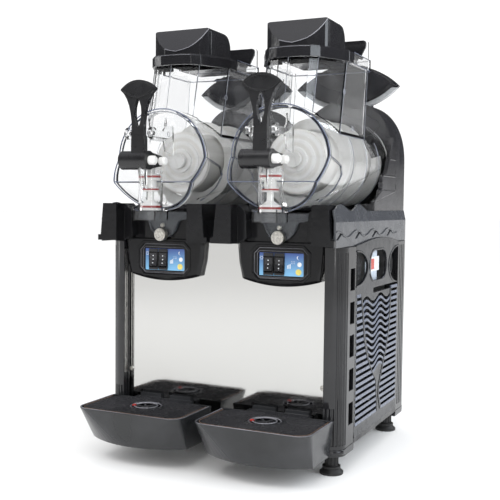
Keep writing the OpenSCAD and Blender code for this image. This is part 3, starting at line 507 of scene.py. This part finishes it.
def funnel_beads(u):
    """Seam, upright edges, foot and rim of the clear funnel, and the bands of the bowl under it, as beads of
    painted highlight, the rim in painted shade.
    """
    c = UNIT_X[u]
    top = FUNNEL_TOP - 3
    lines = [[(c, 12.6, top), (c, -1, 543)]]
    for side in (-1, 1):
        for x, y, foot, z in FUNNEL_EDGES:
            part = (FUNNEL_TOP - z) / FUNNEL_DEPTH
            lines.append([(c + side * x, y, top), (c + side * x, y + (foot - y) * part, z)])
        lines.append([(c + side * (FUNNEL_X + 0.2), y, 501.4) for y in (56, 95, 135, 171)])
        for y in (92, 157, 222):
            band = arc(BOWL_R, -62, 28, 24, 0, BOWL_Z, y)
            lines.append([(c + side * x, yy, z) for x, yy, z in band])
    tube(f"bowl_lines_{u}", lines, 0.45, THIN, "machine")
    half = [(71, 104), (71, 185), (65, 194)]
    plan = [(c + x, y) for x, y in half] + [(c - x, y) for x, y in half[::-1]]
    rims = [[(x, y, z) for x, y in plan] for z in (RIM_HIGH, RIM_LOW)]
    # rims of the funnel in painted shade
    tube(f"funnel_rim_{u}", rims, 0.55, EDGE, "machine")
    # small moulded rings on the flanks, pale with painted highlight
    rings = []
    for side in (-1, 1):
        for y, z in ((70, 566), (112, 514)):
            rings.append(side_ring(c + side * (FUNNEL_X + 0.6), y, z, 4, 20))
    tube(f"funnel_rings_{u}", rings, 0.5, THIN, "machine", closed=True)


# lower edge of the lid's sloping facet, from its middle to one side
FACET_EDGE = [
    (0, 24.6, 636.4), (12, 26.2, 639), (22, 27.8, 642), (31, 31.4, 648),
    (38, 35, 654.6), (43, 38.6, 661), (46, 41.4, 666), (49.2, 44.8, 672),
]
# plan of the lid's skirt, from its middle to one side
SKIRT = [(0, 8.6), (17, 10.6), (31.5, 15.6), (42, 27), (50.5, 46), (59, 62)]


def lid_trim(u):
    """Bright rounded edge under the lid's sloping facet, and a bead round its skirt, both pale grey painted
    highlights on the black lid.
    """
    c = UNIT_X[u]
    # towards -X the edge runs out after its second point
    edge = [(c - x, y, z) for x, y, z in FACET_EDGE[2:0:-1]] + [(c + x, y, z) for x, y, z in FACET_EDGE]
    tube(f"lid_edge_{u}", [edge], 0.7, HIGHLIGHT_GLOSS, f"lid_{u}")
    plan = [(-x, y) for x, y in SKIRT[:0:-1]] + SKIRT
    band = [(c + x, y - 0.2, 628) for x, y in plan]
    tube(f"lid_band_{u}", [band], 0.4, HIGHLIGHT_GLOSS, f"lid_{u}")


def crest_band(u):
    """Pale band along the lower edge of the crest."""
    c = UNIT_X[u]
    r, width, middle, back, depth = 129.5, 8, 691.3, 279.2, 9.6
    low = arc(r, -134, -46, 40, c, middle, back)
    high = arc(r - width, -49.5, -130.5, 40, c, middle, back)
    solid(f"crest_band_{u}", [(low + high, (0, depth, 0))], BAND_GREY, "machine", 0.8)


# outlines of the control plate and of the pocket in it: (x, z)
PLATE = [
    (-43.2, 294.6), (-34.4, 285.8), (34.4, 285.8), (43.2, 294.6),
    (43.2, 322.4), (34.4, 331.2), (-34.4, 331.2), (-43.2, 322.4),
]
POCKET = [
    (-38, 292), (-36.6, 289), (-33.4, 287.6), (32.4, 287.6), (35.6, 289), (37, 292),
    (37, 322), (35.6, 325.2), (32.4, 326.6), (-33.4, 326.6), (-36.6, 325.2), (-38, 322),
]


def plate_trim(u):
    """Rounded edges of the control plate and of the pocket in it, as grey beads of painted highlight."""
    c = UNIT_X[u]
    for name, outline, y, bead in (("plate_edge", PLATE, -6.2, 0.5), ("pocket_edge", POCKET, -6.3, 0.35)):
        line = [(c + x, y, z) for x, z in outline]
        tube(f"{name}_{u}", [line], bead, HIGHLIGHT_TRIM, "machine", closed=True)


SWITCHES = {"a": (-28.4, -12.3), "b": (-10.9, 5.2)}
SWITCH_X = {"a": -20.35, "b": -2.85}
SWITCH_Z, SWITCH_PIVOT_Y, SWITCH_TILT = 306.2, -2, math.radians(-7)
LABEL_X, LABEL_Z = (-35.5, -28.7, 5.5, 35.5), (290, 293.4, 319, 324)
LABEL_Y, LABEL_THICK, INK_THICK = -4.25, 0.25, 0.2


def switch_frames(u):
    """Dark frames below and above the two switches."""
    c = UNIT_X[u]
    for name, z0, z1 in (("low", 290.6, 293.6), ("high", 318.8, 323.6)):
        frames = [(front_box(c + x0, c + x1, z0, z1, -4.4), (0, -2.0, 0)) for x0, x1 in SWITCHES.values()]
        solid(f"switch_frame_{name}_{u}", frames, LOOKS["black_satin"], "machine", 0.4)


def label(u):
    """Blue label round the two switches, with generic symbols."""
    c = UNIT_X[u]
    cells = []
    for i in range(3):
        for k in range(3):
            if (i, k) != (1, 1):
                cell = front_box(c + LABEL_X[i], c + LABEL_X[i + 1], LABEL_Z[k], LABEL_Z[k + 1], LABEL_Y)
                cells.append((cell, (0, -LABEL_THICK, 0)))
    solid(f"label_{u}", cells, LABEL, "machine")
    y, ink = LABEL_Y - LABEL_THICK, (0, -INK_THICK, 0)
    solid(f"label_sun_{u}", [(arc(4.6, 0, 345, 23, c + 27.7, 296.4, y), ink)], YELLOW, "machine")
    ball = arc(3.4, 0, 345, 23, c + 29.1, 307.7, y)
    crescent = arc(2.6, 100, 280, 12, c + 27.4, 317.6, y) + arc(3.1, 262, 118, 10, c + 29.0, 317.4, y)
    marks = [(ball, ink), (crescent, ink)]
    for k in range(3):
        x = c + 9.6 + k * 2.1
        marks.append((front_box(x, x + 1.2, 301, 306 + k, y), ink))
    for k in range(6):
        q = math.radians(k * 60)
        marks.append((arc(0.7, 0, 300, 5, c - 32 + 2.2 * math.cos(q), 316 + 2.2 * math.sin(q), y), ink))
        marks.append((arc(0.5, 0, 300, 5, c + 16.5 + (k % 3) * 2.4, 309 + (k // 3) * 2.6, y), ink))
    solid(f"label_marks_{u}", marks, PALE, "machine")


def switch_marks(u):
    """Three pale marks on the tilted face of each switch."""
    c = UNIT_X[u]
    cos, sin = math.cos(SWITCH_TILT), math.sin(SWITCH_TILT)
    for k, x in SWITCH_X.items():
        dots = []
        for dz, dy in ((-5.7, -5.2), (0, -4.65), (5.8, -5.2)):
            y = SWITCH_PIVOT_Y + dy * cos - dz * sin
            z = SWITCH_Z + dy * sin + dz * cos
            dots.append((arc(0.9, 0, 330, 11, c + x, z, y), (0, -0.25, 0)))
        solid(f"switch_marks_{k}_{u}", dots, PALE, f"rocker_{k}_{u}")


TRAY_HALF, TRAY_FRONT, TRAY_RIM = 88.5, -116.5, 84.8
GRID_HALF, GRID_FRONT, GRID_TOP = 85.0, -112.4, 84.7
DRAIN_X, DRAIN_Y = 1.5, -60.0


def rounded_front(half, front, back, radius, z, c):
    """Outline from the back left round the two front corners to the back right."""
    points = [(c - half, back, z)]
    for start, x in ((180, -half + radius), (270, half - radius)):
        for i in range(9):
            q = math.radians(start + 90 * i / 8)
            points.append((c + x + radius * math.cos(q), front + radius + radius * math.sin(q), z))
    return points + [(c + half, back, z)]


def tray_trim(u):
    """Bead along the tray's rim, brownish edge of the grid and raised lips of its drain, all painted
    highlights.
    """
    c = UNIT_X[u]
    rim = rounded_front(TRAY_HALF, TRAY_FRONT, -20, 19.5, TRAY_RIM, c)
    tube(f"tray_rim_{u}", [rim], 0.8, HIGHLIGHT_TRIM, f"tray_{u}")
    edge = rounded_front(GRID_HALF, GRID_FRONT, -22, 20, GRID_TOP, c)
    tube(f"grid_edge_{u}", [edge], 0.4, GRID_RIM_HIGHLIGHT, f"grid_{u}")
    turn = [i * math.tau / 40 for i in range(40)]
    lips = [
        [(c + DRAIN_X + r * math.cos(q), DRAIN_Y + r * math.sin(q), z) for q in turn]
        for r, z in ((23.5, 84.9), (17.5, 85.6))
    ]
    tube(f"drain_lip_{u}", lips, 0.9, HIGHLIGHT_GLOSS, f"grid_{u}", closed=True)


# goblet outline in the louvre field: (z, y) of its edge towards the front and towards the back
GOBLET_FRONT = [
    (64, 161), (82, 159), (116, 152), (136, 129), (159, 107), (189, 90), (213, 84), (237, 78), (257, 72),
]
GOBLET_BACK = [(64, 180), (88, 168), (105, 170), (127, 184), (156, 205), (188, 220), (221, 227), (257, 228)]
SLOT_PITCH, SLOT_LOWEST, WAVE_LOWEST = 9.7, 68, 139
STRIP_DROP, WAVE_DROP = 2.65, 2.2  # from a slot's lower edge to the middle of the strip under it
FIELD_FRONT, FIELD_BACK = 51, 268  # ends of the louvre field
WAVE_LENGTH, WAVE_CREST_Y, WAVE_HEIGHT = 73, 97, 5
BLADE_X, BLADE_LEAN, BLADE_DEPTH = 200.3, 0.6, 2.4


def blades(side, name):
    """Leaning louvre blades, one over each strip between two slots of a side panel."""
    prisms = []

    def blade(y0, z0, y1, z1, low, high):
        out, back = side * BLADE_X, side * (BLADE_X - BLADE_LEAN)
        outline = [(out, y0, z0 - low), (out, y1, z1 - low), (back, y1, z1 + high), (back, y0, z0 + high)]
        prisms.append((outline, (-side * BLADE_DEPTH, 0, 0)))

    for i in range(21):
        z = SLOT_LOWEST + i * SLOT_PITCH - STRIP_DROP
        a, b = between_rows(GOBLET_FRONT, z), between_rows(GOBLET_BACK, z)
        if a > FIELD_FRONT + 9:
            blade(FIELD_FRONT, z, a - 3, z, 2.0, 2.6)
        blade(b + 4, z, FIELD_BACK, z, 2.0, 2.6)
    for i in range(12):
        z = WAVE_LOWEST + i * SLOT_PITCH - WAVE_DROP
        a, b = between_rows(GOBLET_FRONT, z) + 4, between_rows(GOBLET_BACK, z) - 4
        n = max(4, round((b - a) / 6))
        ys = [a + (b - a) * k / n for k in range(n + 1)]
        zs = [z + WAVE_HEIGHT * math.cos(math.tau * (y - WAVE_CREST_Y) / WAVE_LENGTH) for y in ys]
        for k in range(n):
            blade(ys[k], zs[k], ys[k + 1], zs[k + 1], 1.7, 2.1)
    solid(f"louvre_blades_{name}", prisms, BLADE, "machine")


def behind_openings(side, name):
    """Sheet with a blank notice behind the middle opening, and a guard behind each round one."""
    x = side * 191
    sheet = side_box(x, 111, 172, 276, 327)
    solid(f"inner_sheet_{name}", [(sheet, (side * 1.2, 0, 0))], SHEET, "machine")
    notice = side_box(x + side * 1.4, 134, 182, 291, 314)
    solid(f"notice_{name}", [(notice, (side * 0.3, 0, 0))], PALE, "machine")
    field = side_box(x + side * 1.8, 140, 156, 294, 311)
    solid(f"notice_field_{name}", [(field, (side * 0.2, 0, 0))], NOTICE_RED, "machine")
    rings = [
        side_ring(side * 190, y, z, r, 28)
        for y, z in ((74, 301), (246, 297))
        for r in (5, 9, 13, 17, 21)
    ]
    tube(f"guards_{name}", rings, 1.0, SATIN, "machine", closed=True)


RIM_X = 199.3
# frame of the middle opening: (y, z)
OPENING_FRAME = [
    (136, 276.6), (179, 276.6), (194, 281), (202.4, 292), (202.4, 311), (194, 322),
    (179, 326.4), (136, 326.4), (121, 322), (112.6, 311), (112.6, 292), (121, 281),
]
# round openings: y, z of the middle and the half axes of the rim
ROUND_RIMS = [(50, 301, 52, 26), (272, 297, 56, 31)]
BETWEEN_PILLARS = (54, 264)


def opening_rims(side, name):
    """Rounded frame of the middle opening and rims of the two round ones, as grey beads of painted highlight.
    """
    loop = [(side * RIM_X, y, z) for y, z in OPENING_FRAME]
    tube(f"opening_frame_{name}", [loop], 1.0, HIGHLIGHT_TRIM, "machine", closed=True)
    for k, (y0, z0, ry, rz) in enumerate(ROUND_RIMS):
        turn = [math.radians(-78 + 156 * i / 40 + 180 * k) for i in range(41)]
        rim = [(side * RIM_X, y0 + ry * math.cos(q), z0 + rz * math.sin(q)) for q in turn]
        rim = [p for p in rim if BETWEEN_PILLARS[0] < p[1] < BETWEEN_PILLARS[1]]
        tube(f"opening_rim_{k}_{name}", [rim], 1.0, HIGHLIGHT_TRIM, "machine")


def sill(side, name):
    """Face of the sloping sill under the louvres, painted pale grey for the light it reflects as it faces up.
    """
    low, high = side * 199.75, side * 199.35
    outline = [(low, 47, 47.5), (low, 270, 47.5), (high, 270, 56.5), (high, 47, 56.5)]
    solid(f"sill_{name}", [(outline, (-side * 0.8, 0, 0))], SILL_PAINTED_LIGHT, "machine", 0.2)


def pillar_trim(side, name):
    """Two bright strips on the inner face of a front pillar."""
    strips = [(side_box(side * 171.45, y, y + 1.5, 122, 322), (-side * 0.4, 0, 0)) for y in (-9.4, -4.6)]
    solid(f"pillar_trim_{name}", strips, LOOKS["stainless"], "machine")


# painted shade for the thick edges of the clear mouldings and painted highlights for the thin ones
EDGE, THIN = edge_painted_shade(), edge_painted_highlight()
# pale grey copy of the black gloss: painted highlights along edges and beads
HIGHLIGHT_GLOSS = black_gloss("bead_painted_highlight", 1.0, 0.10, 0.22, (0.05, 0.12))
# grey copy of the black gloss: painted highlights along rims and frames
HIGHLIGHT_TRIM = black_gloss("trim_painted_highlight", 0.8, 0.06, 0.30, (0.10, 0.20))
BAND_GREY = ink_and_painted_light("band_grey", (0.34, 0.35, 0.36), (0.42, 0.43, 0.44))
LABEL = label_blue()
YELLOW = ink_and_painted_light("label_yellow", (0.62, 0.50, 0.10), (0.74, 0.64, 0.20))
PALE = ink_and_painted_light("label_pale", (0.62, 0.66, 0.70), (0.78, 0.80, 0.83))
NOTICE_RED = ink_and_painted_light("notice_red", (0.42, 0.04, 0.03), (0.55, 0.08, 0.06))
SHEET = sheet_paint()
# painted light on the louvre blades
BLADE = blade_painted_light()
# brownish painted highlight along the grid's edge
GRID_RIM_HIGHLIGHT = ink_and_painted_light("grid_rim_painted_highlight", (0.10, 0.055, 0.035), (0.24, 0.15, 0.10))
# pale grey painted reflection of the light on the upward sloping sill
SILL_PAINTED_LIGHT = ink_and_painted_light("sill_painted_light", (0.10, 0.105, 0.115), (0.16, 0.165, 0.18))
UNIT_PIECES = (
    bowl_beads, funnel_beads, lid_trim, crest_band, plate_trim, switch_frames, label, switch_marks, tray_trim,
)
SIDE_PIECES = (blades, behind_openings, opening_rims, sill, pillar_trim)
for u in UNITS:
    for build in UNIT_PIECES:
        build(u)
for side, name in ((-1, "left"), (1, "right")):
    for build in SIDE_PIECES:
        build(side, name)

# ---------------------------------------------------------------- studio


def make_floor():
    """A pale floor that runs on without a visible end."""
    bpy.ops.mesh.primitive_plane_add(size=60, location=(0, 0, 0))
    floor = bpy.context.object
    floor.name = "floor"
    s = Shader("floor_white", (0.90, 0.90, 0.90), 1.0)
    s.bsdf.inputs["Specular IOR Level"].default_value = 0.0
    s.tint(s.noise(2, 2), (0.895, 0.895, 0.895), (0.905, 0.905, 0.905))
    floor.data.materials.append(s.material)


def make_world():
    """White surroundings; the gloss of the object sees a darker room above the horizon."""
    world = bpy.data.worlds.new("studio")
    bpy.context.scene.world = world
    world.use_nodes = True
    tree = world.node_tree
    tree.nodes.clear()
    new = tree.nodes.new
    out = new("ShaderNodeOutputWorld")
    plain, studio = new("ShaderNodeBackground"), new("ShaderNodeBackground")
    mix = new("ShaderNodeMixShader")
    plain.inputs["Color"].default_value = (1, 1, 1, 1)
    plain.inputs["Strength"].default_value = 1.12
    studio.inputs["Strength"].default_value = 1.0
    where = new("ShaderNodeTexCoord")
    split = new("ShaderNodeSeparateXYZ")
    ramp = new("ShaderNodeValToRGB")
    tree.links.new(where.outputs["Generated"], split.inputs["Vector"])
    height = new("ShaderNodeMapRange")
    height.inputs["From Min"].default_value = -1
    tree.links.new(split.outputs["Z"], height.inputs["Value"])
    tree.links.new(height.outputs["Result"], ramp.inputs["Fac"])
    stops = ramp.color_ramp
    stops.elements[0].position = 0.49
    stops.elements[0].color = (0.9, 0.9, 0.91, 1)
    stops.elements[1].position = 0.97
    stops.elements[1].color = (1.0, 1.0, 1.02, 1)
    for place, grey in ((0.53, 0.09), (0.66, 0.04), (0.80, 0.10), (0.90, 0.7)):
        stop = stops.elements.new(place)
        stop.color = (grey, grey, grey * 1.08, 1)
    tree.links.new(ramp.outputs["Color"], studio.inputs["Color"])
    # only rays mirrored by the object, not those that pass through its clear parts
    path = new("ShaderNodeLightPath")
    mirrored = new("ShaderNodeMath")
    mirrored.operation = "SUBTRACT"
    mirrored.use_clamp = True
    tree.links.new(path.outputs["Is Glossy Ray"], mirrored.inputs[0])
    tree.links.new(path.outputs["Is Transmission Ray"], mirrored.inputs[1])
    tree.links.new(mirrored.outputs[0], mix.inputs["Fac"])
    tree.links.new(plain.outputs["Background"], mix.inputs[1])
    tree.links.new(studio.outputs["Background"], mix.inputs[2])
    tree.links.new(mix.outputs["Shader"], out.inputs["Surface"])


def softbox(name, place, target, width, height, power, colour=(1, 1, 1)):
    """A rectangular lamp that faces the target."""
    data = bpy.data.lights.new(name, "AREA")
    data.shape = "RECTANGLE"
    data.size = width
    data.size_y = height
    data.energy = power
    data.color = colour
    lamp = bpy.data.objects.new(name, data)
    lamp.location = place
    lamp.rotation_euler = (Vector(target) - Vector(place)).to_track_quat("-Z", "Y").to_euler()
    bpy.context.scene.collection.objects.link(lamp)


def make_light():
    bpy.context.scene.view_settings.view_transform = "Standard"
    make_world()
    softbox("top_front", (0.1, -1.6, 2.3), (0, 0, 0.5), 2.2, 1.0, 22)
    softbox("right_wall", (2.2, -0.5, 1.3), (0, 0, 0.3), 0.9, 1.6, 18, (0.86, 0.93, 1.0))
    softbox("right_strip", (1.3, -1.9, 0.9), (0, -0.1, 0.3), 0.16, 1.6, 5)
    softbox("left_strip", (-2.0, -1.0, 0.9), (0, 0, 0.35), 0.3, 1.6, 8)
    softbox("back_strip", (1.7, 1.4, 1.3), (0.1, 0.1, 0.4), 0.4, 1.4, 14, (0.9, 0.95, 1.0))


make_floor()
make_light()
